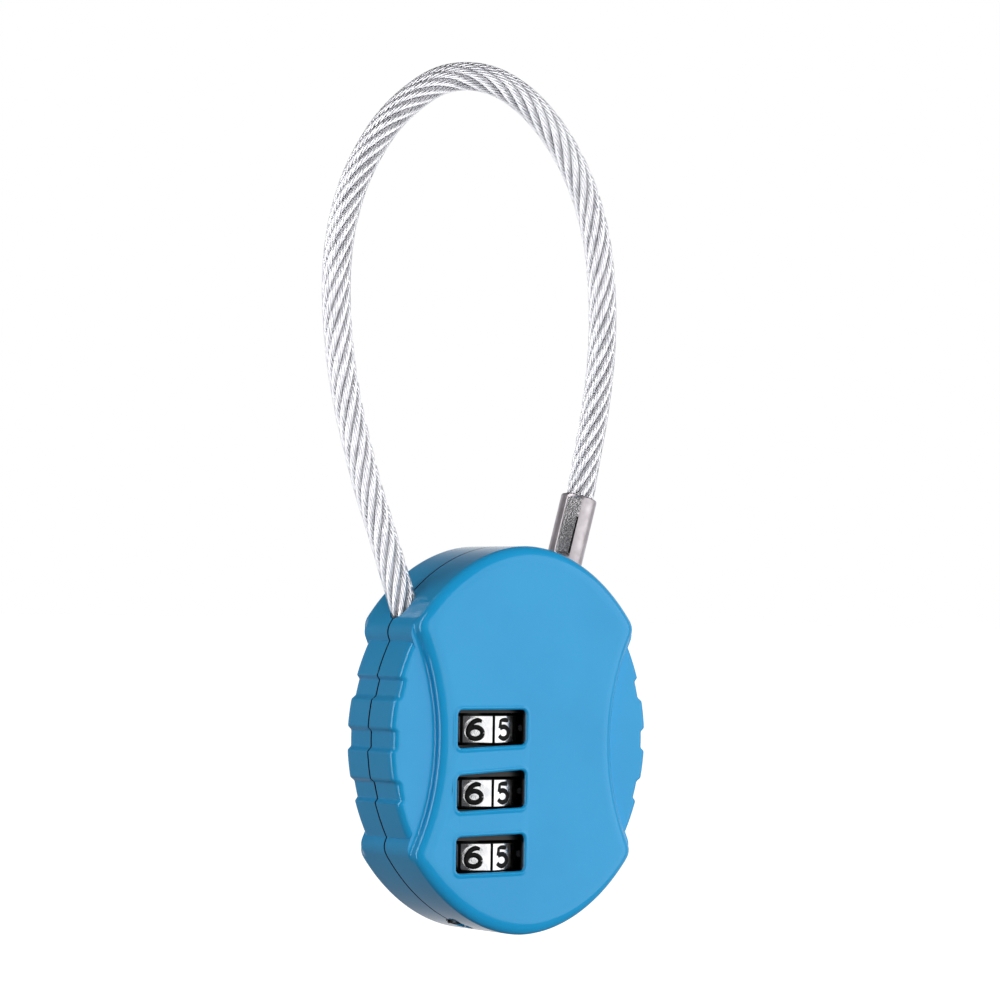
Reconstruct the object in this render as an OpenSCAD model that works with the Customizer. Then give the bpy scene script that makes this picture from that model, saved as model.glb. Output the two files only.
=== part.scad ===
// Luggage padlock with three number dials and a cable shackle.
// Millimetres, +Z up, front face towards -Y.
// The origin is the underside of the cable loop's crown, where the lock hangs.

/* [Body] */
// Height of the body over its outline
body_h = 42; // [40:0.5:44]
// Width of the body over its outline
body_w = 35.5; // [34.5:0.5:37]
// Thickness over both shells
body_t = 13; // [13:0.5:14]
// Wall of the cast shells
wall = 1.3; // [1.1:0.1:1.4]
// Radius of the rounded edge around both faces
edge_r = 1.1; // [0.6:0.1:1.2]

/* [Grips] */
// Height at which the shoulders end and the grips begin, above and below the middle
shoulder_z = 11.6; // [11:0.1:12]
// Half width of the flat face at its waist
waist_x = 11.1; // [10.8:0.1:11.5]
// Thickness over the grip pads
grip_t = 9.8; // [9.4:0.1:10.2]
// How far the grip pads stand inside the shoulders
grip_inset = 1.25; // [1.0:0.05:1.5]
// Depth of the finger grooves
groove_d = 0.45; // [0.2:0.05:0.5]
// Width of one finger groove
groove_w = 2.3; // [2:0.1:2.6]
// Distance between finger grooves
groove_pitch = 5.5; // [5.2:0.1:6]

/* [Dials] */
// Radius over the ribs of a dial
dial_r = 6.0; // [5.8:0.05:6.05]
// Thickness of one dial
dial_t = 3.0; // [2.8:0.1:3.1]
// Distance between dials along their axis
dial_pitch = 6.85; // [6.8:0.05:6.95]
// Height of the middle dial above the body's middle
dial_mid_z = -5.65; // [-5.7:0.05:-5.55]
// Width of a window
window_w = 8.6; // [8:0.1:8.8]
// Height of a window
window_h = 3.9; // [3.4:0.1:4]
// Distance between windows
window_pitch = 6.75; // [6.6:0.05:6.9]

/* [Cable] */
// Diameter over the clear sleeve of the cable
cable_d = 3.1; // [2.9:0.1:3.1]
// Diameter of the bare wire rope
rope_d = 2.1; // [1.9:0.1:2.4]
// Diameter of the crimped sleeve on the plug end
ferrule_d = 4.0; // [3.8:0.05:4.1]
// Lean of the plug from upright, in degrees
plug_lean = 15; // [14:0.5:16]

/* [Hidden] */
$fn = 64;

// Place of the body's middle below the hanging point
crown = [-5, 72.2];
body_at = [-crown[0], 0, cable_d / 2 - crown[1]];

// The outline is a slightly pointed oval: a superellipse of this power
oval_power = 1.9;
oval_steps = 96;
half_w = body_w / 2;
half_h = body_h / 2;
half_t = body_t / 2;
grip_half_t = grip_t / 2;

// The arc that cuts the face away at each side, through the waist and both shoulders
shoulder_x = oval_x(half_w, half_h, shoulder_z) - 0.7;
bite_sag = shoulder_x - waist_x;
bite_r = (pow(shoulder_z, 2) + pow(bite_sag, 2)) / (2 * bite_sag);
bite_x = waist_x + bite_r;

// The stack of dials
dial_x = -4.5;
dial_y = -0.3;
dial_core_r = dial_r - 0.25;
window_x = -4.8;
window_mid_z = -5.4;
sleeve_r = 3.2;
sleeve_end_r = 2.55;
sleeve_half = 2.8;
fin_r = 1.95;
fin_t = 0.6;
shaft_r = 1.25;
spindle_low = -14.95;
fit = 0.05;

// Travel of the plug, and of the latch and spindle that it drives
plug_travel = 12;
drive_ratio = 0.13;
shift = plug_travel * drive_ratio;

// The latch, its height and the neck of the plug that it holds
latch_z = 13.4;
latch_t = 0.9;
latch_tip_x = 5.55;
head_z = 12.9;

// The plug's axis, from the mouth of its crimped sleeve downwards
plug_top = [10.25, 26.61];
ferrule_len = 9.6;
socket_end = 12.5;
rope_end = 5.6;
neck_at = 12.9;
neck_len = 1.6;
neck_r = 0.9;
stem_r = 1.5;
nose_r = 1.45;
nose_slope = 0.115;
tip_at = 20.2;

// The fixed end of the cable
anchor_top = [-11.66, 12.54];
anchor_lean = -19.9;
anchor_len = 4.8;
anchor_r = 2.1;

// Rivets that hold the shells together
rivet_spots = [[0.8, 17.0], [7.6, -1.0], [6.0, -14.2]];
rivet_r = 1.0;
post_r = 1.9;

// Middle line of the cable between its two ends, in the plane of the parting line
route = [[-11.7, 12.6], [-12.3, 14.4], [-13.1, 16.6], [-14.2, 19.6], [-15.5, 23.1],
    [-17.0, 27.0], [-18.3, 31.1], [-19.5, 35.2], [-20.4, 39.3], [-21.0, 43.4],
    [-21.3, 47.5], [-21.2, 51.6], [-20.6, 55.5], [-19.4, 59.4], [-17.6, 63.0],
    [-15.2, 66.4], [-12.1, 69.3], [-8.7, 71.4], [-5.0, 72.2], [-1.3, 71.8],
    [2.2, 70.2], [5.2, 67.8], [7.7, 64.9], [9.8, 61.5], [11.3, 57.9], [12.3, 54.1],
    [12.8, 50.3], [13.0, 46.4], [12.9, 42.5], [12.5, 38.6], [11.9, 34.7],
    [11.1, 30.7], [10.55, 27.7], [10.27, 26.69]];

blue = "#2f93cf";
blue_side = "#2b84bd";
nickel = "#c9ccd0";
steel = "#9aa0a6";
brass = "#c2a25a";
black = "#202225";

// ---- shared shapes ----

function oval_x(a, b, z) = a * pow(1 - pow(abs(z) / b, oval_power), 1 / oval_power);

function oval(a, b) = [for (i = [0 : oval_steps - 1])
    let (t = 360 * i / oval_steps, c = cos(t), s = sin(t))
    [a * sign(c) * pow(abs(c), 2 / oval_power), b * sign(s) * pow(abs(s), 2 / oval_power)]];

function dial_z(i) = dial_mid_z + dial_pitch * (1 - i);

function along(top, lean, t) = [top[0] - t * sin(lean), top[1] - t * cos(lean)];

// Moves a sub-part from the body's own middle to its place under the hanging point
module in_place() {
    translate(body_at) children();
}

// Extrudes a front-view outline from depth y0 to depth y1
module slab(y0, y1) {
    translate([0, y1, 0]) rotate([90, 0, 0]) linear_extrude(y1 - y0) children();
}

// Turns a cylinder's axis on to a leaning line in the parting plane, measured downwards from its top
module on_line(top, lean, t0, t1) {
    at = along(top, lean, t1);
    translate([at[0], 0, at[1]]) rotate([0, lean, 0]) linear_extrude(t1 - t0) children();
}

module face_outline(inset) {
    difference() {
        polygon(oval(half_w - inset, half_h - inset));
        for (side = [-1, 1]) translate([side * bite_x, 0]) circle(r = bite_r + inset, $fn = 180);
    }
}

// How far from the middle the grip's side stands at groove k
function groove_x(k) = oval_x(half_w - grip_inset, half_h - 0.2, k * groove_pitch);

module grip_outline(inset) {
    difference() {
        intersection() {
            polygon(oval(half_w - grip_inset - inset, half_h - 0.2 - inset));
            square([body_w, 2 * shoulder_z + 1], center = true);
        }
        if (inset < wall) for (side = [-1, 1], k = [-1 : 1])
            translate([side * (groove_x(k) - inset), k * groove_pitch])
                rotate(side > 0 ? 0 : 180) groove_outline();
    }
}

module groove_outline() {
    translate([-groove_d, -groove_w / 2]) square([2, groove_w]);
}

// One half of the body as a filled solid, from the parting plane to the face at -Y
module half_body() {
    steps = 3;
    slab(-half_t + edge_r, 0) face_outline(0);
    for (k = [1 : steps]) {
        depth = half_t - edge_r + edge_r * sin(90 * k / steps);
        slab(-depth, -half_t + edge_r) face_outline(edge_r * (1 - cos(90 * k / steps)));
    }
    slab(-grip_half_t + 0.5, 0) grip_outline(0);
    slab(-grip_half_t, 0) grip_outline(0.3);
}

// The hollow inside both shells, shrunk by gap for pieces that have to lie in it
module cavity(gap) {
    slab(-half_t + wall + gap, half_t - wall - gap) difference() {
        polygon(oval(half_w - wall - gap, half_h - wall - gap));
        for (side = [-1, 1]) translate([side * bite_x, 0]) circle(r = bite_r + wall + gap, $fn = 180);
    }
    slab(-grip_half_t + wall + gap, grip_half_t - wall - gap) grip_outline(wall + 0.4 + gap);
}

module window_hole() {
    r = 0.5;
    for (x = [-1, 1], z = [-1, 1])
        translate([x * (window_w / 2 - r), z * (window_h / 2 - r)]) circle(r);
    square([window_w, window_h - 2 * r], center = true);
    square([window_w - 2 * r, window_h], center = true);
}

// What is cut out of both shells: cable entry, plug entry, reset hole and a slot for each dial
module shell_bores() {
    on_line(anchor_top, anchor_lean, -8, 0.01) circle(cable_d / 2 + 0.1);
    on_line(anchor_top, anchor_lean, 0, anchor_len + 0.1) circle(anchor_r + 0.1);
    on_line(plug_top, plug_lean, 2, ferrule_len + 0.3) circle(ferrule_d / 2 + 0.1);
    on_line(plug_top, plug_lean, ferrule_len, socket_end + 0.1) circle(2.7);
    translate([dial_x, 0, -half_h - 1]) cylinder(r = 1.5, h = 4.6);
    for (i = [0 : 2]) translate([dial_x, dial_y, dial_z(i) - dial_t / 2 - 0.1])
        cylinder(r = dial_r + 0.15, h = dial_t + 0.2);
}

// Solid bosses inside the cavity that carry the cable entry and the plug entry
module entry_bosses() {
    on_line(anchor_top, anchor_lean, -6, 0.8) circle(cable_d / 2 + 1.4);
    on_line(plug_top, plug_lean, rope_end, ferrule_len + 0.3) circle(ferrule_d / 2 + 1.3);
}

module rivet_posts() {
    for (p = rivet_spots) slab(-half_t + wall, half_t - wall) translate(p) circle(post_r);
}

module rivet_bores() {
    for (p = rivet_spots) {
        slab(-4.9, half_t + 1) translate(p) circle(rivet_r);
        slab(half_t - 1.0, half_t + 1) translate(p) circle(rivet_r + 0.7);
    }
}

module half_shell(front) {
    side = front ? 0 : 1;
    difference() {
        union() {
            difference() {
                mirror([0, side, 0]) half_body();
                cavity(0);
            }
            intersection() {
                mirror([0, side, 0]) half_body();
                union() {
                    entry_bosses();
                    rivet_posts();
                }
            }
        }
        shell_bores();
        rivet_bores();
        if (front) for (k = [-1 : 1])
            slab(-half_t - 1, -2) translate([window_x, window_mid_z + k * window_pitch]) window_hole();
    }
}

// ---- housing ----

module front_shell() {
    color(blue) in_place() half_shell(true);
}

module rear_shell() {
    color(blue_side) in_place() half_shell(false);
}

module shell_rivets() {
    color(steel) in_place() for (p = rivet_spots) {
        slab(-4.8, half_t - 0.95) translate(p) circle(rivet_r);
        slab(half_t - 1.0, half_t - 0.15) translate(p) circle(rivet_r + 0.65);
    }
}

module frame_plate(z0, z1) {
    translate([-14, -6, z0]) cube([17.2, 12, z1 - z0]);
}

module dial_frame() {
    gap = 0.25;
    z_top = dial_z(0) + dial_t / 2 + gap;
    z_low = dial_z(2) - dial_t / 2 - gap;
    color(black) in_place() difference() {
        intersection() {
            union() {
                frame_plate(z_top, z_top + 2.1);
                for (i = [0, 1]) frame_plate(dial_z(i + 1) + dial_t / 2 + gap, dial_z(i) - dial_t / 2 - gap);
                translate([dial_x, dial_y, z_low - 2.2]) cylinder(r = 3.6, h = 2.2);
                translate([2.3, -3.5, z_low - 1.5]) cube([0.9, 7, z_top - z_low + 3.6]);
                translate([dial_x, -3.5, z_low - 1.5]) cube([7.7, 7, 1.5]);
            }
            cavity(0.15);
        }
        translate([dial_x, dial_y, -15.5]) cylinder(r = sleeve_end_r + fit, h = z_top + 1.15 + 15.5);
        translate([dial_x, dial_y, -18]) cylinder(r = shaft_r + fit, h = 26);
        translate([1.9, -2.1, -15]) cube([0.45, 4.2, z_top + 15 + 1]);
    }
}

// ---- dials ----

module dial(i) {
    ribs = 10;
    translate([dial_x, dial_y, dial_z(i) - dial_t / 2]) difference() {
        union() {
            cylinder(r = dial_core_r, h = dial_t);
            for (k = [0 : ribs - 1]) rotate(360 * k / ribs - 90 - 2)
                translate([dial_core_r - 0.5, -0.35, 0.25]) cube([0.72, 0.7, dial_t - 0.5]);
        }
        translate([0, 0, -1]) cylinder(r = sleeve_r, h = dial_t + 2);
    }
}

// Inner sleeve that turns with its dial. The spindle's fin turns free in its wide recess.
module code_sleeve(i) {
    recess_h = fin_t + shift + 0.3;
    translate([dial_x, dial_y, dial_z(i)]) difference() {
        union() {
            translate([0, 0, -dial_t / 2]) cylinder(r = sleeve_r, h = dial_t);
            translate([0, 0, -sleeve_half]) cylinder(r = sleeve_end_r, h = 2 * sleeve_half);
        }
        translate([0, 0, -5]) cylinder(r = shaft_r + 0.15, h = 10);
        translate([0, 0, -recess_h]) cylinder(r = fin_r + 0.1, h = recess_h + 0.3);
        translate([0, -0.5, 0]) cube([fin_r + 0.1, 1, 5]);
    }
}

module dial_upper() {
    color(nickel) in_place() dial(0);
}

module dial_middle() {
    color(nickel) in_place() dial(1);
}

module dial_lower() {
    color(nickel) in_place() dial(2);
}

module code_sleeve_upper() {
    color(black) in_place() code_sleeve(0);
}

module code_sleeve_middle() {
    color(black) in_place() code_sleeve(1);
}

module code_sleeve_lower() {
    color(black) in_place() code_sleeve(2);
}

// ---- spindle and latch ----

module spindle() {
    color(steel) in_place() translate([dial_x, dial_y, 0]) {
        difference() {
            translate([0, 0, spindle_low]) cylinder(r = shaft_r, h = 11.6 - spindle_low);
            translate([0, 0, 10.5]) clip_groove();
        }
        translate([0, 0, 11.6]) cylinder(r1 = 1.9, r2 = 0.6, h = 1.3);
        for (i = [0 : 2]) translate([0, -0.4, dial_z(i) - fin_t]) cube([fin_r, 0.8, fin_t]);
    }
}

module clip_groove() {
    difference() {
        cylinder(r = shaft_r + 1, h = 0.4);
        translate([0, 0, -1]) cylinder(r = shaft_r - 0.35, h = 3);
    }
}

module spindle_clip() {
    color(steel) in_place() translate([dial_x, dial_y, 10.5]) difference() {
        cylinder(r = 2.2, h = 0.4);
        translate([0, 0, -1]) cylinder(r = shaft_r - 0.35, h = 3);
        translate([-3, -0.6, -1]) cube([3, 1.2, 3]);
    }
}

module spindle_spring() {
    color(nickel) in_place() translate([dial_x, dial_y, 0])
        coil(1.65, 0.18, 5.07, 10.48, 5);
}

module detent_spring() {
    color(nickel) in_place() {
        translate([2.0, -2, -13.9]) cube([0.25, 4, 17.4]);
        for (i = [0 : 2]) translate([2.0, 0, dial_z(i)]) rotate([90, 0, 0])
            translate([0, 0, -1.5]) cylinder(r = 0.34, h = 3);
    }
}

module latch_bolt() {
    low = latch_z - latch_t / 2;
    high = latch_z + latch_t / 2;
    color(steel) in_place() slab(-1.6, 1.6) polygon([[-3.65, head_z], [-2.35, 11.6], [-1.2, 11.6],
        [-1.2, low], [latch_tip_x, low], [latch_tip_x, high], [-3.65, high]]);
}

module latch_guide() {
    color(black) in_place() difference() {
        translate([-1.0, -2.6, 12.0]) cube([4.4, 5.2, 2.8]);
        translate([-2, -1.6 - fit, latch_z - latch_t / 2 - fit])
            cube([7, 3.2 + 2 * fit, latch_t + 2 * fit]);
    }
}

module plug_socket() {
    color(brass) in_place() on_line(plug_top, plug_lean, ferrule_len + 0.35, socket_end) difference() {
        circle(2.65);
        circle(stem_r + fit);
    }
}

// ---- reset ----

module reset_pin() {
    color(black) in_place() translate([dial_x, 0, 0]) {
        translate([0, 0, -20.0]) cylinder(r = 1.4, h = 1.3);
        translate([0, 0, -18.75]) cylinder(r = 0.8, h = 0.8);
    }
}

module reset_spring() {
    color(nickel) in_place() translate([dial_x, 0, 0]) coil(1.15, 0.12, -18.68, -16.57, 3);
}

// ---- cable ----

// Wire coil of the given turns between two heights
module coil(r, wire_r, z0, z1, turns) {
    n = turns * 16;
    path = [for (i = [0 : n]) let (t = 360 * turns * i / n)
        [r * cos(t), r * sin(t), z0 + wire_r + (z1 - z0 - 2 * wire_r) * i / n]];
    tube(path, wire_r, 6);
}

function unit(v) = v / norm(v);

function heading(p, i) = unit(p[min(i + 1, len(p) - 1)] - p[max(i - 1, 0)]);

// One ring of points around place i of a path, on axes that stay square to the path
function ring(p, i, r, sides, across) = let (d = heading(p, i), u = unit(cross(across, d)), v = cross(d, u))
    [for (k = [0 : sides - 1]) let (t = 360 * k / sides) p[i] + r * (cos(t) * u + sin(t) * v)];

// Solid tube along a path. The path's own upright direction keeps the rings from twisting.
module tube(p, r, sides) {
    n = len(p);
    across = [for (i = [0 : n - 1]) is_flat(p) ? [0, 1, 0] : [0, 0, 1]];
    points = [for (i = [0 : n - 1]) each ring(p, i, r, sides, across[i])];
    polyhedron(points, concat(
        [[for (k = [0 : sides - 1]) k]],
        [for (i = [0 : n - 2], k = [0 : sides - 1]) let (a = i * sides, b = a + sides, m = (k + 1) % sides)
            [a + k, b + k, b + m, a + m]],
        [[for (k = [sides - 1 : -1 : 0]) (n - 1) * sides + k]]));
}

function is_flat(p) = max([for (q = p) abs(q[1])]) < 0.001;

// Hollow tube along a path, as a ring of wall between an outer and an inner radius
module sleeve_tube(p, r_out, r_in, sides) {
    n = len(p);
    outer = [for (i = [0 : n - 1]) each ring(p, i, r_out, sides, [0, 1, 0])];
    inner = [for (i = [0 : n - 1]) each ring(p, i, r_in, sides, [0, 1, 0])];
    s = n * sides;
    polyhedron(concat(outer, inner), concat(
        [for (i = [0 : n - 2], k = [0 : sides - 1]) let (a = i * sides, b = a + sides, m = (k + 1) % sides)
            [a + k, b + k, b + m, a + m]],
        [for (i = [0 : n - 2], k = [0 : sides - 1]) let (a = s + i * sides, b = a + sides, m = (k + 1) % sides)
            [a + k, a + m, b + m, b + k]],
        [for (k = [0 : sides - 1]) let (m = (k + 1) % sides) [k, m, s + m, s + k]],
        [for (k = [0 : sides - 1]) let (m = (k + 1) % sides, e = (n - 1) * sides)
            [e + k, s + e + k, s + e + m, e + m]]));
}

function in_depth(p) = [for (q = p) [q[0], 0, q[1]]];

module wire_rope() {
    inside = along(plug_top, plug_lean, rope_end);
    start = along(anchor_top, anchor_lean, 3.5);
    color(nickel) in_place() tube(in_depth(concat([start], route, [inside])), rope_d / 2, 8);
}

module cable_jacket() {
    color("#e6eaee", 0.5) in_place() sleeve_tube(in_depth(route), cable_d / 2, rope_d / 2 + 0.02, 8);
}

module anchor_ferrule() {
    color(nickel) in_place() difference() {
        on_line(anchor_top, anchor_lean, 0.1, anchor_len) circle(anchor_r);
        on_line(anchor_top, anchor_lean, -1, 3.6) circle(rope_d / 2 + 0.05);
    }
}

module plug_ferrule() {
    color(nickel) in_place() difference() {
        on_line(plug_top, plug_lean, 0, ferrule_len) circle(ferrule_d / 2);
        on_line(plug_top, plug_lean, -1, rope_end + 0.1) circle(rope_d / 2 + 0.05);
    }
}

module plug_tip() {
    nose_at = neck_at + neck_len + (nose_r - neck_r) / nose_slope;
    at = along(plug_top, plug_lean, 0);
    color(steel) in_place() translate([at[0], 0, at[1]]) rotate([0, plug_lean, 0]) rotate_extrude()
        polygon([[0, -ferrule_len], [stem_r, -ferrule_len], [stem_r, -neck_at + 0.3], [neck_r, -neck_at],
            [neck_r, -neck_at - neck_len], [nose_r, -nose_at], [nose_r - 0.15, -tip_at + 0.4],
            [nose_r - 0.55, -tip_at], [0, -tip_at]]);
}

front_shell();
rear_shell();
shell_rivets();
dial_frame();
dial_upper();
dial_middle();
dial_lower();
code_sleeve_upper();
code_sleeve_middle();
code_sleeve_lower();
spindle();
spindle_clip();
spindle_spring();
detent_spring();
latch_bolt();
latch_guide();
plug_socket();
reset_pin();
reset_spring();
anchor_ferrule();
wire_rope();
cable_jacket();
plug_ferrule();
plug_tip();
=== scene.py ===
"""Luggage padlock with three number dials and a cable shackle: the finished look of its pieces."""

import math

import bmesh
import bpy
from mathutils import Matrix, Vector


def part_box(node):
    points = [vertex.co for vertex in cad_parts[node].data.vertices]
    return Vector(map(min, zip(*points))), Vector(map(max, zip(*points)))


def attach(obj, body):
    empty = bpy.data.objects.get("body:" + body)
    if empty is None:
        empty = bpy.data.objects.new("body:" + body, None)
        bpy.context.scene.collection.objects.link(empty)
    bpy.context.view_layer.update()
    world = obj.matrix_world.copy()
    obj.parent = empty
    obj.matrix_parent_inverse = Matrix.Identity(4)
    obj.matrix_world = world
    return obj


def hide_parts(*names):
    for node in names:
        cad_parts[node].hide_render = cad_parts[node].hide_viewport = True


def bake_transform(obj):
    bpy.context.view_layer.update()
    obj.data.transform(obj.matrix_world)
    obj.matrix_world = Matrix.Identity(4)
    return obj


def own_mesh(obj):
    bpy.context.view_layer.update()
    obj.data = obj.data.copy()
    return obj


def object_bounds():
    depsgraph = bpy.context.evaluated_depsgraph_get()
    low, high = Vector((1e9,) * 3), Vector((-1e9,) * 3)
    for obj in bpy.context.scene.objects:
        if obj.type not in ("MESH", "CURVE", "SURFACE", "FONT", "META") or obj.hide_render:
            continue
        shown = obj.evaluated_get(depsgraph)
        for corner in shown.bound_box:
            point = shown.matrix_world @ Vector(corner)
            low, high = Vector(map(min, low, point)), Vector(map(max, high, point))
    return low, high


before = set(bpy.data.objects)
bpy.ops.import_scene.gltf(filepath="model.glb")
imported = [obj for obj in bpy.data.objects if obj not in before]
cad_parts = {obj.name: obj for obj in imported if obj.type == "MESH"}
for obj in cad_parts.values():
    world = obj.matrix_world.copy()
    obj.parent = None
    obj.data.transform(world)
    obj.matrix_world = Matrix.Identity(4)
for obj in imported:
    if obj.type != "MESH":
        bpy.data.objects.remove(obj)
cad_low, cad_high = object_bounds()

MM = 0.001

# ---- the body's own sizes, in millimetres from its middle ----
shell_low, shell_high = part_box("front_shell")
MIDDLE = (shell_low + shell_high) / 2
MIDDLE.y = 0
HALF_T = -shell_low.y / MM
HALF_H = (shell_high.z - shell_low.z) / 2 / MM
HALF_W = 17.75
WALL = 1.3
OVAL_POWER = 1.9
EDGE_W, EDGE_D = 1.9, 1.15
SHOULDER_Z, WAIST_X = 11.6, 11.1
GRIP_INSET, GRIP_HALF_T, GRIP_ROUND = 1.25, 4.9, 0.85
GROOVE_PITCH, GROOVE_W, GROOVE_D, GROOVE_SLOPE = 5.5, 2.3, 0.45, 0.55
WINDOW_W, WINDOW_H, WINDOW_R = 8.6, 3.9, 0.5
WINDOW_X, WINDOW_MID_Z, WINDOW_PITCH = -4.8, -5.4, 6.75
# How much the upper and the lower edge of each opening climb towards the right, top window first
WINDOW_CLIMB = [(0.05, 0.38), (0.58, 0.36), (0.28, 0.16)]
DIAL_X, DIAL_Y, DIAL_MID_Z, DIAL_PITCH = -4.5, -0.3, -5.65, 6.85
DIAL_R, DIAL_T = 5.85, 3.0
RIVETS = [(0.8, 17.0), (7.6, -1.0), (6.0, -14.2)]
RIVET_RECESS_R = 1.7
CABLE_D, ROPE_D = 3.1, 2.1
PLUG_TOP, PLUG_LEAN = (10.25, 26.61), math.radians(15)
ANCHOR_TOP, ANCHOR_LEAN = (-11.66, 12.54), math.radians(-19.9)
FERRULE_D, FERRULE_LEN = 4.0, 9.6

# Middle line of the cable, X and Z from the body's middle
ROUTE = [(-11.7, 12.6), (-12.3, 14.4), (-13.1, 16.6), (-14.2, 19.6), (-15.5, 23.1),
         (-17.0, 27.0), (-18.3, 31.1), (-19.5, 35.2), (-20.4, 39.3), (-21.0, 43.4),
         (-21.3, 47.5), (-21.2, 51.6), (-20.6, 55.5), (-19.4, 59.4), (-17.6, 63.0),
         (-15.2, 66.4), (-12.1, 69.3), (-8.7, 71.4), (-5.0, 72.2), (-1.3, 71.8),
         (2.2, 70.2), (5.2, 67.8), (7.7, 64.9), (9.8, 61.5), (11.3, 57.9), (12.3, 54.1),
         (12.8, 50.3), (13.0, 46.4), (12.9, 42.5), (12.5, 38.6), (11.9, 34.7),
         (11.1, 30.7), (10.55, 27.7), (10.27, 26.69)]


def place(x, y, z):
    """A point given in millimetres from the body's middle, in the row frame."""
    return MIDDLE + Vector((x, y, z)) * MM


# ---- camera ----

def make_camera():
    """Long lens a little below and to the left of the body, looking slightly upwards."""
    right = Vector((0.84278, -0.53803, 0.01564))
    up = Vector((-0.02789, -0.01462, 0.99950))
    ahead = up.cross(right).normalized()
    distance, lens_shift = 450, (-0.28, -26.07)
    data = bpy.data.cameras.new("camera")
    data.sensor_width, data.lens = 36, 148.24
    data.clip_start, data.clip_end = 0.01, 100
    camera = bpy.data.objects.new("camera", data)
    bpy.context.scene.collection.objects.link(camera)
    eye = MIDDLE - (right * lens_shift[0] + up * lens_shift[1] + ahead * distance) * MM
    turn = Matrix((right, up, -ahead)).transposed().to_4x4()
    camera.matrix_world = Matrix.Translation(eye) @ turn
    bpy.context.scene.camera = camera


# ---- material helpers ----

def linear(colour):
    """An sRGB hex colour as linear RGBA."""
    parts = [int(colour[i:i + 2], 16) / 255 for i in (1, 3, 5)]
    return (*[c / 12.92 if c <= 0.04045 else ((c + 0.055) / 1.055) ** 2.4 for c in parts], 1)


def add(tree, kind, values=None, links=None, **settings):
    """Adds a node, with its own settings, its sockets' values and its incoming links."""
    made = tree.nodes.new(kind)
    for name, value in settings.items():
        setattr(made, name, value)
    for socket, value in (values or {}).items():
        made.inputs[socket].default_value = value
    for socket, source in (links or {}).items():
        tree.links.new(source, made.inputs[socket])
    return made


def material(name, values):
    """A new material, its tree, its Principled shader and the object's coordinates."""
    made = bpy.data.materials.new(name)
    made.use_nodes = True
    tree = made.node_tree
    shader = tree.nodes["Principled BSDF"]
    for socket, value in values.items():
        shader.inputs[socket].default_value = value
    here = add(tree, "ShaderNodeTexCoord").outputs["Object"]
    return made, tree, shader, here


def noise(tree, here, size_mm, detail=2.0):
    """Noise whose blotches are about size_mm across."""
    values = {"Scale": 1 / (size_mm * MM), "Detail": detail}
    return add(tree, "ShaderNodeTexNoise", values, {"Vector": here}).outputs["Fac"]


def ramp(tree, fac, low, high, colours):
    """Two colours over a range of a factor."""
    made = add(tree, "ShaderNodeValToRGB", links={"Fac": fac})
    made.color_ramp.elements[0].position, made.color_ramp.elements[1].position = low, high
    made.color_ramp.elements[0].color, made.color_ramp.elements[1].color = colours
    return made.outputs["Color"]


def span(tree, fac, low, high):
    """The middle range of a noise stretched between two values."""
    limits = {"From Min": 0.3, "From Max": 0.7, "To Min": low, "To Max": high}
    return add(tree, "ShaderNodeMapRange", limits, {"Value": fac}).outputs["Result"]


def bump(tree, shader, height, depth_mm, strength):
    """Raises the surface by a pattern that is depth_mm high at its full value."""
    values = {"Strength": strength, "Distance": depth_mm * MM}
    made = add(tree, "ShaderNodeBump", values, {"Height": height})
    tree.links.new(made.outputs["Normal"], shader.inputs["Normal"])


# ---- finishes ----

def painted_zinc():
    """Die-cast zinc alloy under glossy sprayed enamel: clear blue, orange peel of about 1.5 mm, a few
    specks of dust, and slightly paler paint where it ran thin."""
    made, tree, shader, here = material("painted_zinc", {"IOR": 1.5})
    cloud = noise(tree, here, 9, 3)
    colour = ramp(tree, cloud, 0.3, 0.7, (linear("#1ba3e0"), linear("#20a9e6")))
    tree.links.new(colour, shader.inputs["Base Color"])
    tree.links.new(span(tree, noise(tree, here, 4), 0.07, 0.14), shader.inputs["Roughness"])
    peel = noise(tree, here, 1.5, 1)
    speck = ramp(tree, noise(tree, here, 0.35, 0), 0.78, 0.84, (linear("#000000"), linear("#ffffff")))
    both = add(tree, "ShaderNodeMath", links={0: peel, 1: speck}, operation="ADD")
    bump(tree, shader, both.outputs[0], 0.004, 0.5)
    return made


def seam_shadow():
    """The joint between the shells, their insides and the crease of the crimped sleeve: near black as
    painted shade in these gaps, with bare zinc flecks where the paint chipped."""
    made, tree, shader, here = material("seam_shadow", {"Roughness": 0.7, "IOR": 1.45})
    chips = ramp(tree, noise(tree, here, 0.5, 2), 0.66, 0.72, (linear("#0a0d10"), linear("#5f6f78")))
    tree.links.new(chips, shader.inputs["Base Color"])
    return made


def black_nylon():
    """Moulded black nylon: dark satin with a fine moulding grain."""
    made, tree, shader, here = material("black_nylon", {"Roughness": 0.35, "IOR": 1.53})
    tone = ramp(tree, noise(tree, here, 2), 0.3, 0.7, (linear("#050506"), linear("#101114")))
    tree.links.new(tone, shader.inputs["Base Color"])
    bump(tree, shader, noise(tree, here, 0.25), 0.01, 0.4)
    return made


def chromed_zinc():
    """Die-cast zinc under satin chrome: bright, with casting waves and pits."""
    made, tree, shader, here = material("chromed_zinc", {"Metallic": 1.0})
    tone = ramp(tree, noise(tree, here, 1.2, 3), 0.35, 0.7, (linear("#e0e1e3"), linear("#fafafb")))
    tree.links.new(tone, shader.inputs["Base Color"])
    tree.links.new(span(tree, noise(tree, here, 0.7), 0.12, 0.26), shader.inputs["Roughness"])
    bump(tree, shader, noise(tree, here, 0.35, 3), 0.03, 0.5)
    return made


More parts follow.
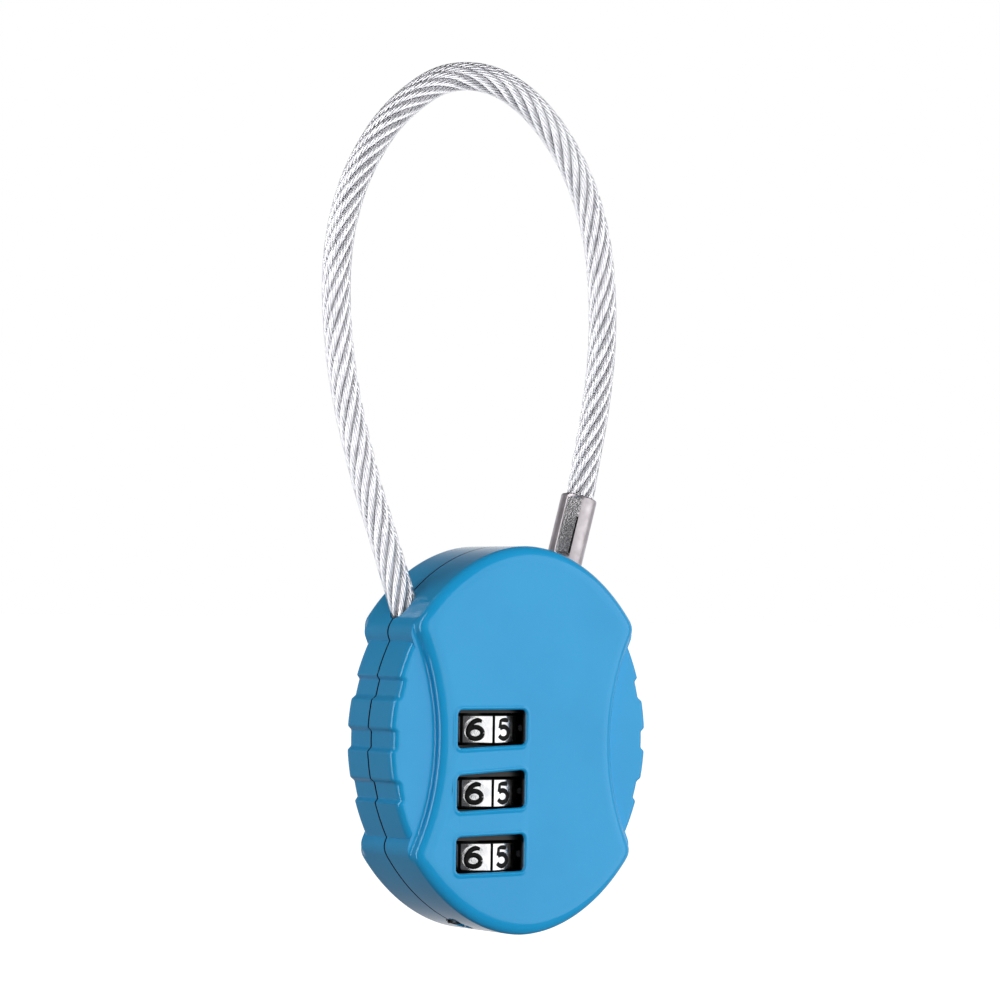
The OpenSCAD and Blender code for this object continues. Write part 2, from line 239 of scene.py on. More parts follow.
def digit_enamel():
    """Black paint wiped into the numbers: dull, slightly grainy and almost without shine."""
    values = {"Roughness": 0.55, "IOR": 1.45, "Specular IOR Level": 0.3}
    made, tree, shader, here = material("digit_enamel", values)
    tone = ramp(tree, noise(tree, here, 0.6), 0.3, 0.7, (linear("#020202"), linear("#0d0d0f")))
    tree.links.new(tone, shader.inputs["Base Color"])
    bump(tree, shader, noise(tree, here, 0.3), 0.02, 0.4)
    return made


def plated(name, dark, light, rough_low, rough_high, grain_mm, depth_mm):
    """Plated or bare metal with a tone that wanders a little and a grain of the given size."""
    made, tree, shader, here = material(name, {"Metallic": 1.0})
    tone = ramp(tree, noise(tree, here, 3 * grain_mm, 3), 0.3, 0.7, (linear(dark), linear(light)))
    tree.links.new(tone, shader.inputs["Base Color"])
    rough = span(tree, noise(tree, here, grain_mm), rough_low, rough_high)
    tree.links.new(rough, shader.inputs["Roughness"])
    bump(tree, shader, noise(tree, here, grain_mm / 2, 3), depth_mm, 0.5)
    return made


def struck(name, dark, light, rough, grain_mm):
    """Bright metal with a coarse uneven surface."""
    made, tree, shader, here = material(name, {"Metallic": 1.0, "Roughness": rough})
    tone = ramp(tree, noise(tree, here, grain_mm, 3), 0.38, 0.62, (linear(dark), linear(light)))
    tree.links.new(tone, shader.inputs["Base Color"])
    bump(tree, shader, noise(tree, here, grain_mm, 2), 0.5 * grain_mm, 1.0)
    return made


def nickel_sleeve():
    """Nickel plating of the crimping sleeves: soft satin shine with a fine grain."""
    return plated("nickel_sleeve", "#b9b2b6", "#ddd6da", 0.3, 0.46, 0.6, 0.03)


def pressed_nickel():
    """Where the crimping jaws bit: the same nickel, crushed to a coarse sparkling grain."""
    return struck("pressed_nickel", "#8f8d8f", "#c8c5c7", 0.36, 0.17)


def rib_chrome():
    """The gripping ribs of the dials: chrome over a coarse cast grain, which glitters."""
    return struck("rib_chrome", "#a9a9ad", "#f0f0f2", 0.42, 0.26)


def wire_rope():
    """Galvanised steel rope: bright drawn wires whose tone and shine wander a little."""
    return plated("wire_rope", "#e4e4e8", "#fafafc", 0.28, 0.42, 0.5, 0.008)


def plated_steel():
    """Zinc-plated steel: cool grey with a mild grain."""
    return plated("plated_steel", "#8c9197", "#b9bec4", 0.22, 0.4, 0.5, 0.01)


def spring_steel():
    """Hard-drawn spring wire: grey and smooth."""
    return plated("spring_steel", "#a7abb0", "#d0d3d7", 0.16, 0.3, 0.3, 0.005)


def brass():
    """Turned brass: warm yellow with fine tool marks."""
    return plated("brass", "#a98a48", "#cfae68", 0.2, 0.34, 0.4, 0.01)


def clear_pvc():
    """Clear plasticised PVC sleeve: transparent, slightly wavy and soft in its gloss."""
    values = {"Base Color": linear("#fdfdfe"), "Roughness": 0.05, "IOR": 1.5, "Transmission Weight": 1.0}
    made, tree, shader, here = material("clear_pvc", values)
    bump(tree, shader, noise(tree, here, 1.8, 1), 0.02, 0.4)
    return made


# ---- mesh helpers ----

def finished(name, bm, body, slot, *nodes, materials, angle=32):
    """Makes a piece with its finishes, smoothed by angle, that rides a body and replaces CAD nodes."""
    mesh = bpy.data.meshes.new(name)
    bm.to_mesh(mesh)
    bm.free()
    piece = bpy.data.objects.new(name, mesh)
    bpy.context.scene.collection.objects.link(piece)
    for finish in materials:
        mesh.materials.append(finish)
    smooth(piece, angle)
    if nodes:
        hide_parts(*nodes)
    if body:
        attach(piece, body)
    return piece


def only(piece):
    """Leaves nothing but one object selected and active."""
    bpy.ops.object.select_all(action="DESELECT")
    piece.select_set(True)
    bpy.context.view_layer.objects.active = piece


def smooth(piece, angle):
    """Smooth shading, with edges left sharp where they turn by more than the angle in degrees."""
    only(piece)
    bpy.ops.object.shade_smooth_by_angle(angle=math.radians(angle))


def apply(piece, kind, **settings):
    """Adds a modifier and applies it at once."""
    only(piece)
    made = piece.modifiers.new(kind.lower(), kind)
    for name, value in settings.items():
        setattr(made, name, value)
    bpy.ops.object.modifier_apply(modifier=made.name)


def ring_of(bm, points):
    """New points of a mesh, in their order round a ring."""
    return [bm.verts.new(p) for p in points]


def wall_between(bm, one, two, finish=0):
    """A closed band of faces between two rings with the same number of points."""
    n = len(one)
    for i in range(n):
        face = bm.faces.new((one[i], one[(i + 1) % n], two[(i + 1) % n], two[i]))
        face.material_index = finish


def edges_of(ring):
    """The edges that join each point of a ring to its next one."""
    n = len(ring)
    found = []
    for i in range(n):
        found += [e for e in ring[i].link_edges if e.other_vert(ring[i]) is ring[(i + 1) % n]]
    return found


def sheet_between(bm, rings):
    """Flat faces that fill the space between an outer ring and the rings of its holes."""
    edges = [e for ring in rings for e in edges_of(ring)]
    made = bmesh.ops.triangle_fill(bm, use_beauty=True, edges=edges)
    return [g for g in made["geom"] if isinstance(g, bmesh.types.BMFace)]


# ---- outlines of the body ----

def oval_x(a, b, z):
    """Half the width at height z of the body's oval with half axes a and b."""
    return a * max(0.0, 1 - abs(z / b) ** OVAL_POWER) ** (1 / OVAL_POWER)


SHOULDER_X = oval_x(HALF_W, HALF_H, SHOULDER_Z) - 0.7
BITE_SAG = SHOULDER_X - WAIST_X
BITE_R = (SHOULDER_Z ** 2 + BITE_SAG ** 2) / (2 * BITE_SAG)
BITE_X = WAIST_X + BITE_R


def oval_point(a, b, t):
    """The oval's point at the parameter t, anticlockwise from the right."""
    c, s = math.cos(t), math.sin(t)
    power = 2 / OVAL_POWER
    return (math.copysign(a * abs(c) ** power, c), math.copysign(b * abs(s) ** power, s))


def bezier(p, q, r, n):
    """The points between p and r on a quadratic curve with its handle at q."""
    found = []
    for i in range(1, n + 1):
        t = i / (n + 1)
        found.append(tuple(p[k] * (1 - t) ** 2 + 2 * q[k] * t * (1 - t) + r[k] * t * t for k in (0, 1)))
    return found


def body_outline(inset, flare=0.0):
    """The front view of the body, anticlockwise from the right shoulder: an oval with a round bite out
    of each side. It is drawn in by inset, and the bites alone are filled out by flare."""
    a, b, radius = HALF_W - inset, HALF_H - inset, BITE_R + inset - flare
    # The height at which the bite meets the oval, found by halving
    low, high = 6.0, 18.0
    for _ in range(40):
        z = (low + high) / 2
        if oval_x(a, b, z) > BITE_X - math.sqrt(radius ** 2 - z ** 2):
            low = z
        else:
            high = z
    corner = (oval_x(a, b, z), z)
    soft = 0.9 - 0.3 * min(1.0, inset / EDGE_W)
    t0 = math.asin((z / b) ** (OVAL_POWER / 2)) + soft / a
    bite = math.asin(z / radius) - soft / radius
    oval_n, bite_n, corner_n = 72, 40, 5
    top = [oval_point(a, b, t0 + (math.pi - 2 * t0) * i / oval_n) for i in range(oval_n + 1)]
    left = [(-BITE_X + radius * math.cos(u), radius * math.sin(u))
            for u in [bite * (1 - 2 * i / bite_n) for i in range(bite_n + 1)]]
    half = top + bezier(top[-1], (-corner[0], corner[1]), left[0], corner_n) + left
    other = [(-x, -y) for x, y in half]
    lower_gap = bezier(half[-1], (-corner[0], -corner[1]), other[0], corner_n)
    upper_gap = [(-x, -y) for x, y in lower_gap]
    return half + lower_gap + other + upper_gap


def groove_depth(z):
    """How far the finger grooves cut into a grip at a height. Their sides are soft slopes."""
    deep = 0.0
    for k in (-1, 0, 1):
        t = (abs(z - k * GROOVE_PITCH) - GROOVE_W / 2 + 0.35) / GROOVE_SLOPE
        t = min(1.0, max(0.0, t))
        deep = max(deep, GROOVE_D * (1 - t * t * (3 - 2 * t)))
    return deep


def grip_outline(side, inset):
    """One grip in front view: outside with its grooves, inside along an arc hidden in the body's wall."""
    reach, steps, inner_steps = SHOULDER_Z + 0.5, 160, 24
    a, b = HALF_W - GRIP_INSET - inset, HALF_H - 0.2 - inset
    outside = [(oval_x(a, b, z) - groove_depth(z), z)
               for z in [reach * (2 * i / steps - 1) for i in range(steps + 1)]]
    inside = [(min(BITE_X - math.sqrt((BITE_R + 0.6) ** 2 - z ** 2),
                   oval_x(a + inset - GRIP_ROUND, b + inset - GRIP_ROUND, z) - 1), z)
              for z in [reach * (1 - 2 * i / inner_steps) for i in range(inner_steps + 1)]]
    return [(side * x, z) for x, z in outside + inside]


def window_outline(x, z, grow, climb):
    """A window's rounded rectangle, made larger by grow on every side, with edges that climb a little."""
    corner = WINDOW_R + grow
    found = []
    for k, (sx, sz) in enumerate([(1, 1), (-1, 1), (-1, -1), (1, -1)]):
        for i in range(9):
            t = math.radians(90 * k + 90 * i / 8)
            along = sx * (WINDOW_W / 2 - WINDOW_R) + corner * math.cos(t)
            rise = climb[0 if sz > 0 else 1] * along / WINDOW_W
            found.append((x + along, z + rise + sz * (WINDOW_H / 2 - WINDOW_R) + corner * math.sin(t)))
    return found


def round_outline(x, z, radius):
    """A circle as points."""
    steps = 40
    turns = [math.tau * i / steps for i in range(steps)]
    return [(x + radius * math.cos(t), z + radius * math.sin(t)) for t in turns]


# ---- shells ----

# Paint, then near black painted shade for the seam and the inside, then black nylon as painted shade on
# the window walls
PAINT, SEAM_SHADE, WINDOW_SHADE = 0, 1, 2    # places of the shells' finishes
SEAM_HALF, SEAM_D = 0.13, 0.3
PARTING_Y = 0.01                # how far each shell keeps off the parting plane
# The fillet at the foot of each bite, where a grip begins: distance from the parting plane, and how far
# the bite is filled out there
FILLET = [(5.28, 0.02), (5.16, 0.07), (5.05, 0.16), (4.97, 0.28), (4.92, 0.42), (4.89, 0.6), (4.6, 0.6)]
RIM_FLARE = 0.6                 # the same from the fillet to the seam
BORE_GAP = 0.12                 # round the cable and the plug
PIN_BORE_R = 1.5


def shell_tray(bm, side, holes):
    """The main wall of one shell: face, soft edge, side, seam and inside. side is -1 for the front."""
    def ring(points, y):
        return ring_of(bm, [place(x, side * y, z) for x, z in points])

    steps = 7
    edge = [(EDGE_W * (1 - math.sin(math.pi / 2 * i / steps)),
             HALF_T - EDGE_D * (1 - math.cos(math.pi / 2 * i / steps))) for i in range(steps + 1)]
    rings = [ring(body_outline(inset), y) for inset, y in edge]
    rings += [ring(body_outline(0, flare), y) for y, flare in FILLET]
    rings.append(ring(body_outline(0, RIM_FLARE), SEAM_HALF))
    rings.append(ring(body_outline(SEAM_D, RIM_FLARE), PARTING_Y))
    rings.append(ring(body_outline(WALL, 0), PARTING_Y))
    rings.append(ring(body_outline(WALL, 0), HALF_T - WALL))
    # The walls at the seam and inside take the near black painted shade
    for i in range(len(rings) - 1):
        wall_between(bm, rings[i], rings[i + 1], SEAM_SHADE if i >= len(rings) - 4 else PAINT)
    sheet_between(bm, [rings[0]] + [hole[0] for hole in holes])
    # The inside sheet takes the same near black painted shade
    for face in sheet_between(bm, [rings[-1]] + [hole[-1] for hole in holes]):
        face.material_index = SEAM_SHADE


def window_holes(bm):
    """Each window has a soft raised lip of paint, a rounded edge and an undercut, black as painted shade.
    """
    profile = [(0.62, 0.0), (0.52, 0.02), (0.42, 0.065), (0.32, 0.11), (0.24, 0.13), (0.16, 0.1),
               (0.09, 0.04), (0.03, -0.05), (0.0, -0.16), (0.0, -0.5), (0.3, -0.52), (0.3, -WALL)]
    holes = []
    for i, climb in enumerate(WINDOW_CLIMB):
        at = (WINDOW_X, WINDOW_MID_Z + (1 - i) * WINDOW_PITCH)
        rings = [ring_of(bm, [place(x, -HALF_T - rise, z) for x, z in window_outline(*at, grow, climb)])
                 for grow, rise in profile]
        # The deepest walls take black nylon as painted shade of the dark inside
        for k in range(len(rings) - 1):
            wall_between(bm, rings[k], rings[k + 1], WINDOW_SHADE if k >= len(profile) - 4 else PAINT)
        holes.append(rings)
    return holes


def rivet_holes(bm):
    """Round recesses for the rivet heads, with softened edges."""
    profile = [(0.22, 0.0), (0.12, -0.03), (0.04, -0.1), (0.0, -0.22), (0.0, -1.0), (-0.65, -1.0),
               (-0.65, -WALL)]
    holes = []
    for at in RIVETS:
        rings = []
        for grow, rise in profile:
            circle = round_outline(*at, RIVET_RECESS_R + grow)
            rings.append(ring_of(bm, [place(x, HALF_T + rise, z) for x, z in circle]))
        for i in range(len(rings) - 1):
            wall_between(bm, rings[i], rings[i + 1])
        holes.append(rings)
    return holes


def grip_block(side, hand):
    """One grip of one shell, as a closed block that runs into the main wall. hand is -1 for the left."""
    bm = bmesh.new()
    steps = 6
    profile = []
    for i in range(steps + 1):
        t = math.pi / 2 * i / steps
        profile.append((GRIP_ROUND * (1 - math.sin(t)), GRIP_HALF_T - GRIP_ROUND * (1 - math.cos(t))))
    profile += [(0, SEAM_HALF), (SEAM_D, PARTING_Y)]
    rings = []
    for inset, y in profile:
        rings.append(ring_of(bm, [place(x, side * y, z) for x, z in grip_outline(hand, inset)]))
    # The seam wall and the inner end take the near black painted shade
    for i in range(len(rings) - 1):
        wall_between(bm, rings[i], rings[i + 1], SEAM_SHADE if i == len(rings) - 2 else PAINT)
    bm.faces.new(rings[0])
    bm.faces.new(rings[-1]).material_index = SEAM_SHADE
    bmesh.ops.recalc_face_normals(bm, faces=bm.faces)
    return bm


def cylinder_between(start, end, radius):
    """A plain cylinder between two points, used as a cutting tool."""
    bpy.ops.object.select_all(action="DESELECT")
    bpy.ops.mesh.primitive_cylinder_add(vertices=48, radius=radius, depth=(end - start).length)
    tool = bpy.context.object
    turn = (end - start).to_track_quat("Z", "Y").to_matrix().to_4x4()
    tool.data.transform(Matrix.Translation((start + end) / 2) @ turn)
    return tool


def on_line(top, lean, t):
    """A point on a leaning line in the parting plane, measured downwards from its top."""
    return place(top[0] - t * math.sin(lean), 0, top[1] - t * math.cos(lean))


def cut(piece, tool):
    """Takes a tool's shape out of a piece and removes the tool."""
    apply(piece, "BOOLEAN", operation="DIFFERENCE", solver="EXACT", object=tool)
    bpy.data.objects.remove(tool)


def shell(name, side, finishes):
    """A whole half of the body. side is -1 for the front and 1 for the rear."""
    bm = bmesh.new()
    holes = window_holes(bm) if side < 0 else rivet_holes(bm)
    shell_tray(bm, side, holes)
    bmesh.ops.recalc_face_normals(bm, faces=bm.faces)
    piece = finished(name + "_cast", bm, "housing", "painted_zinc", name, materials=finishes)
    for hand in (-1, 1):
        block = finished("grip", grip_block(side, hand), None, "painted_zinc", materials=finishes)
        apply(piece, "BOOLEAN", operation="UNION", solver="EXACT", object=block)
        bpy.data.objects.remove(block)
    anchor = [on_line(ANCHOR_TOP, ANCHOR_LEAN, t) for t in (-7, 3)]
    cut(piece, cylinder_between(*anchor, (CABLE_D / 2 + BORE_GAP) * MM))
    plug = [on_line(PLUG_TOP, PLUG_LEAN, t) for t in (3, 12)]
    cut(piece, cylinder_between(*plug, (FERRULE_D / 2 + BORE_GAP) * MM))
    cut(piece, cylinder_between(place(DIAL_X, 0, -22.5), place(DIAL_X, 0, -17), PIN_BORE_R * MM))
    smooth(piece, 32)
    apply(piece, "WEIGHTED_NORMAL", keep_sharp=True, weight=60)


# ---- dials ----

def arc(cx, cy, rx, ry, start, end, steps=14):
    """Points along an arc of an ellipse, in degrees."""
    turn = [math.radians(start + (end - start) * i / steps) for i in range(steps + 1)]
    return [(cx + rx * math.cos(t), cy + ry * math.sin(t)) for t in turn]


# The strokes of plain rounded numbers, in a box from -1 to 1 in height
SIX = [arc(0.0, -0.38, 0.62, 0.62, 0, 360, 24), arc(0.36, -0.38, 0.98, 1.38, 78, 180)]
NUMBERS = {
    0: [arc(0, 0, 0.62, 1, 0, 360, 28)],
    1: [[(-0.38, 0.62), (0.08, 1), (0.08, -1)]],
    2: [arc(0, 0.42, 0.58, 0.58, 165, -38) + [(-0.6, -1), (0.62, -1)]],
    3: [arc(-0.02, 0.5, 0.5, 0.5, 150, -90), arc(-0.02, -0.46, 0.6, 0.54, 90, -150)],
    4: [[(0.28, -1), (0.28, 1), (-0.64, -0.42), (0.66, -0.42)]],
    5: [[(0.52, 1), (-0.38, 1), (-0.46, 0.12)], arc(-0.02, -0.36, 0.62, 0.64, 132, -148)],
    6: SIX,
    7: [[(-0.6, 1), (0.6, 1), (-0.18, -1)]],
    8: [arc(0, 0.52, 0.46, 0.48, 0, 360, 24), arc(0, -0.44, 0.6, 0.56, 0, 360, 24)],
    9: [[(-x, -y) for x, y in stroke] for stroke in SIX],
}
STROKE_R, STROKE_FLAT = 0.27, 0.3
DIGIT_W, DIGIT_H = 1.28, 1.0
SPOT_DEPTH, SPOT_R = 0.13, 1.27
STEP_TURN = 36                  # degrees from one number to the next
SIX_TURN = -20                  # where 6 stands at rest, from the front towards the left
RIB_TURN = -94.0                # where one rib stands, from the right
DIAL_SIDES = 50
DIAL_BORE_R = 3.21
CHROME, ENAMEL_AND_SHADE, RIB = 0, 1, 2   # places of a dial's finishes


def joined(pieces):
    """Several objects made into the first one."""
    only(pieces[0])
    for piece in pieces:
        piece.select_set(True)
    bpy.ops.object.join()
    return pieces[0]


def groove_tool(turn, chrome, enamel):
    """A bar that cuts one upright groove into a dial and leaves its walls black as painted shade."""
    bpy.ops.object.select_all(action="DESELECT")
    bpy.ops.mesh.primitive_cube_add(size=1)
    bar = bpy.context.object
    size = Matrix.Diagonal((1.0 * MM, 0.34 * MM, (DIAL_T + 1) * MM, 1))
    way = Matrix.Rotation(math.radians(turn), 4, "Z") @ Matrix.Translation(((DIAL_R + 0.2) * MM, 0, 0))
    bar.data.transform(way @ size)
    bar.data.materials.append(chrome)
    bar.data.materials.append(enamel)
    for face in bar.data.polygons:
        face.material_index = ENAMEL_AND_SHADE
    return bar


def number_strokes(number):
    """One number as flattened beads of enamel, lying in the plane y = 0 and facing -Y."""
    data = bpy.data.curves.new("number", "CURVE")
    data.dimensions = "3D"
    data.bevel_depth, data.bevel_resolution, data.use_fill_caps = STROKE_R * MM, 2, True
    for stroke in NUMBERS[number]:
        line = data.splines.new("POLY")
        line.points.add(len(stroke) - 1)
        for point, (x, z) in zip(line.points, stroke):
            point.co = (x * DIGIT_W * MM, 0, z * DIGIT_H * MM, 1)
    curve = bpy.data.objects.new("number", data)
    bpy.context.scene.collection.objects.link(curve)
    only(curve)
    bpy.ops.object.convert(target="MESH")
    made = bpy.context.object
    made.data.transform(Matrix.Diagonal((1, STROKE_FLAT, 1, 1)))
    return made


def dial_pattern(chrome, enamel):
    """One dial about the Z axis, with the numbers 0 to 9, each on a flat spot, and ten ribs between them,
    each with a groove along its right side whose walls are black as painted shade."""
    bpy.ops.object.select_all(action="DESELECT")
    bpy.ops.mesh.primitive_cylinder_add(vertices=DIAL_SIDES, radius=DIAL_R * MM, depth=DIAL_T * MM)
    dial = bpy.context.object
    dial.data.transform(Matrix.Rotation(math.radians(RIB_TURN - 180 / DIAL_SIDES), 4, "Z"))
    for finish in (chrome, enamel, rib_chrome()):
        dial.data.materials.append(finish)
    only(dial)
    bpy.ops.object.mode_set(mode="EDIT")
    bpy.ops.mesh.select_mode(type="EDGE")
    bpy.ops.mesh.select_all(action="DESELECT")
    bpy.ops.object.mode_set(mode="OBJECT")
    for edge in dial.data.edges:
        ends = [dial.data.vertices[i].co for i in edge.vertices]
        edge.select = abs(ends[0].z - ends[1].z) < 0.1 * MM
    bpy.ops.object.mode_set(mode="EDIT")
    bpy.ops.mesh.bevel(offset=0.16 * MM, segments=3)
    bpy.ops.mesh.select_mode(type="FACE")
    bpy.ops.mesh.select_all(action="DESELECT")
    bpy.ops.object.mode_set(mode="OBJECT")
    for face in dial.data.polygons:
        turn = math.degrees(math.atan2(face.center.y, face.center.x)) - RIB_TURN
        face.select = abs(face.normal.z) < 0.1 and min(turn % STEP_TURN, -turn % STEP_TURN) < 2
    bpy.ops.object.mode_set(mode="EDIT")
    bpy.ops.mesh.inset(thickness=0.05 * MM, depth=0.12 * MM, use_individual=True)
    bpy.ops.object.mode_set(mode="OBJECT")
    for face in dial.data.polygons:
        face.material_index = RIB if face.select else CHROME
    spots = []
    for k in range(10):
        turn = math.radians(STEP_TURN * k + SIX_TURN - 90)
        out = Vector((math.cos(turn), math.sin(turn), 0))
        spots.append(cylinder_between(out * (DIAL_R - SPOT_DEPTH) * MM, out * 8 * MM, SPOT_R * MM))
    cut(dial, joined(spots))
    # The groove walls take the black number enamel as painted shade
    cut(dial, joined([groove_tool(RIB_TURN + 4.9 + STEP_TURN * k, chrome, enamel) for k in range(10)]))
    cut(dial, cylinder_between(Vector((0, 0, -2 * MM)), Vector((0, 0, 2 * MM)), DIAL_BORE_R * MM))
    smooth(dial, 24)
    for k in range(10):
        # The numbers fall towards the right
        number = number_strokes((6 - k) % 10)
        out = (DIAL_R - SPOT_DEPTH) * MM
        turn = Matrix.Rotation(math.radians(STEP_TURN * k + SIX_TURN), 4, "Z")
        number.data.transform(turn @ Matrix.Translation((0, -out, 0)))
        number.data.materials.append(enamel)
        smooth(number, 60)
        only(dial)
        number.select_set(True)
        bpy.ops.object.join()
    return dial


def make_dials(chrome, enamel):
    """Three dials with their own copies of one mesh."""
    pattern = dial_pattern(chrome, enamel)
    for i, name in enumerate(("upper", "middle", "lower")):
        piece = bpy.data.objects.new("number_dial_" + name, pattern.data.copy())
        bpy.context.scene.collection.objects.link(piece)
        middle = place(DIAL_X, DIAL_Y, DIAL_MID_Z + DIAL_PITCH * (1 - i))
        piece.data.transform(Matrix.Translation(middle))
        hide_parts("dial_" + name)
        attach(piece, name + "_dial")
    bpy.data.objects.remove(pattern)


# ---- cable ----

STRANDS, STRAND_R, WIRES, WIRE_R = 6, 0.36, 6, 0.122
STRAND_LAY, WIRE_LAY = 14.0, 5.0
ROPE_STEP, SLEEVE_STEP = 0.42, 0.6
DEPTHWAYS = Vector((0, 1, 0))


def smooth_route(step_mm):
    """The cable's middle line as evenly fine points on one smooth curve through the route."""
    points = [Vector((x, 0, z)) for x, z in ROUTE]
    ends = [points[0] * 2 - points[1]] + points + [points[-1] * 2 - points[-2]]
    found = []
    for i in range(1, len(ends) - 2):
        a, b, c, d = ends[i - 1:i + 3]
        steps = max(1, round((c - b).length / step_mm))
        for k in range(steps):
            t = k / steps
            found.append(0.5 * (2 * b + (c - a) * t + (2 * a - 5 * b + 4 * c - d) * t * t
                                + (3 * b - a - 3 * c + d) * t ** 3))
    return found + [points[-1]]


def normals_of(line):
    """Each point's direction across the line, in the parting plane."""
    found = []
    for i in range(len(line)):
        ahead = (line[min(i + 1, len(line) - 1)] - line[max(i - 1, 0)]).normalized()
        found.append(Vector((ahead.z, 0, -ahead.x)))
    return found


def distances_along(line):
    """How far along the line each point stands, in millimetres."""
    found = [0.0]
    for i in range(1, len(line)):
        found.append(found[-1] + (line[i] - line[i - 1]).length)
    return found


def wound(line, gone, across, lay, start, radius):
    """A line wound round another one, one turn in each lay, that starts at a part of a turn."""
    found = []
    for point, distance, normal in zip(line, gone, across):
        t = math.tau * (distance / lay + start)
        found.append(point + (normal * math.cos(t) + DEPTHWAYS * math.sin(t)) * radius)
    return found


def tube(bm, centres, across, radius, sides):
    """A tube of rings about its centres. across gives each ring its in-plane direction."""
    rings = []
    for centre, normal in zip(centres, across):
        ring = []
        for k in range(sides):
            t = math.tau * k / sides
            ring.append(place(*(centre + (normal * math.cos(t) + DEPTHWAYS * math.sin(t)) * radius)))
        rings.append(ring_of(bm, ring))
    for i in range(len(rings) - 1):
        wall_between(bm, rings[i], rings[i + 1])
    bm.faces.new(rings[0])
    bm.faces.new(rings[-1])


def follow_plug(piece):
    """Bakes the cable's placement into its mesh; it rides no body."""
    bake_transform(piece)


def make_rope(finish):
    """Six strands round a core, each of six wires laid the other way, so that the wires lie straight."""
    bm = bmesh.new()
    line = smooth_route(ROPE_STEP)
    gone, across = distances_along(line), normals_of(line)
    tube(bm, line, across, STRAND_R, 8)
    for s in range(STRANDS):
        strand = wound(line, gone, across, STRAND_LAY, s / STRANDS, ROPE_D / 2 - STRAND_R)
        tube(bm, strand, across, STRAND_R - WIRE_R * 1.2, 6)
        for w in range(WIRES):
            wire = wound(strand, gone, across, -WIRE_LAY, w / WIRES, STRAND_R - WIRE_R)
            tube(bm, wire, across, WIRE_R, 6)
    bmesh.ops.recalc_face_normals(bm, faces=bm.faces)
    piece = finished("wire_rope_strands", bm, None, "wire_rope", "wire_rope", materials=[finish], angle=70)
    follow_plug(piece)
    return piece


def make_jacket(finish):
    """The clear sleeve, moulded on to the rope without a gap, so that it magnifies the wires."""
    bm = bmesh.new()
    line = smooth_route(SLEEVE_STEP)
    tube(bm, line, normals_of(line), CABLE_D / 2, 28)
    bmesh.ops.recalc_face_normals(bm, faces=bm.faces)
    piece = finished("cable_sleeve", bm, None, "clear_pvc", "cable_jacket", materials=[finish], angle=60)
    follow_plug(piece)


def lathe(profile, steps):
    """A closed turned solid about Z from a list of radius and height."""
    bm = bmesh.new()
    turns = [math.tau * i / steps for i in range(steps)]
    rings = []
    for r, z in profile:
        rings.append(ring_of(bm, [Vector((r * math.cos(t), r * math.sin(t), z)) * MM for t in turns]))
    for i in range(len(rings)):
        wall_between(bm, rings[i], rings[(i + 1) % len(rings)])
    bmesh.ops.recalc_face_normals(bm, faces=bm.faces)
    return bm


# The flat that the crimping jaws press into the sleeve: the way it faces, half its width in degrees, and
# its lower end. A crease opens along its right edge.
JAW_TURN, JAW_HALF, JAW_END = -135.5, 25.0, -6.9
# The crease strip, painted near black as shade: its width in degrees inside the flat's right edge, and its
# lower and upper ends
CREASE_W, CREASE_LOW, CREASE_TOP = 4, -6.6, -2.4
SINK, SLANT = 0.05, 0.24
NICKEL, PRESSED, CREASE_SHADE = 0, 1, 2   # places of the sleeve's finishes


def press_depth(turn, z):
    """How deep the jaws press the sleeve at an angle in degrees and a height below its mouth, and the
    finish of that spot. The front flat slants inwards towards its crease, and the back one less."""
    away = min(1.0, max(0.0, (-0.1 - z) / 0.3)) * min(1.0, max(0.0, (z - JAW_END) / 0.35))
    front = (turn - JAW_TURN + 180) % 360 - 180
    back = (turn - JAW_TURN) % 360 - 180
    deep, finish = 0.0, NICKEL
    for angle, tilt in ((front, 1.0), (back, 0.4)):
        if abs(angle) < JAW_HALF:
            chord = 1 - math.cos(math.radians(JAW_HALF)) / math.cos(math.radians(angle))
            low = min(1.0, max(0.0, (-1.8 - z) / 2.2))
            step = SLANT * tilt * low * ((angle + JAW_HALF) / (2 * JAW_HALF)) ** 1.6
            deep = (FERRULE_D / 2 * chord + SINK + step) * away
            finish = PRESSED if away > 0.5 else NICKEL
            # The crease along the front flat's right edge is painted near black as shade
            if angle > JAW_HALF - CREASE_W and tilt == 1.0 and CREASE_LOW < z < CREASE_TOP:
                finish = CREASE_SHADE
    return deep, finish


def make_crimped_sleeve(finishes):
    """The plug's sleeve: a tube with a rounded mouth, pressed flat on two sides by the crimping jaws."""
    r = FERRULE_D / 2
    bore = CABLE_D / 2 + 0.02
    levels = [-0.16 * i for i in range(1, 48)]
    profile = [(r - 0.12, -FERRULE_LEN), (r, -FERRULE_LEN + 0.12)] + [(r, z) for z in reversed(levels)]
    profile += [(r - 0.03, -0.06), (r - 0.1, 0.0), (bore + 0.06, 0.0), (bore, -0.08), (bore, -5.0),
                (0.3, -5.1), (0.3, -FERRULE_LEN)]
    bm = lathe(profile, 144)
    for v in bm.verts:
        radius = math.hypot(v.co.x, v.co.y)
        if radius > (r - 0.05) * MM:
            deep = press_depth(math.degrees(math.atan2(v.co.y, v.co.x)), v.co.z / MM)[0] * MM
            v.co.x -= v.co.x / radius * deep
            v.co.y -= v.co.y / radius * deep
    for face in bm.faces:
        at = face.calc_center_median()
        if math.hypot(at.x, at.y) > (r - 0.5) * MM:
            face.material_index = press_depth(math.degrees(math.atan2(at.y, at.x)), at.z / MM)[1]
    bm.transform(Matrix.Translation(on_line(PLUG_TOP, PLUG_LEAN, 0)) @ Matrix.Rotation(PLUG_LEAN, 4, "Y"))
    finished("crimped_sleeve", bm, "plug", "nickel_sleeve", "plug_ferrule", materials=finishes, angle=40)


# ---- small metal ----

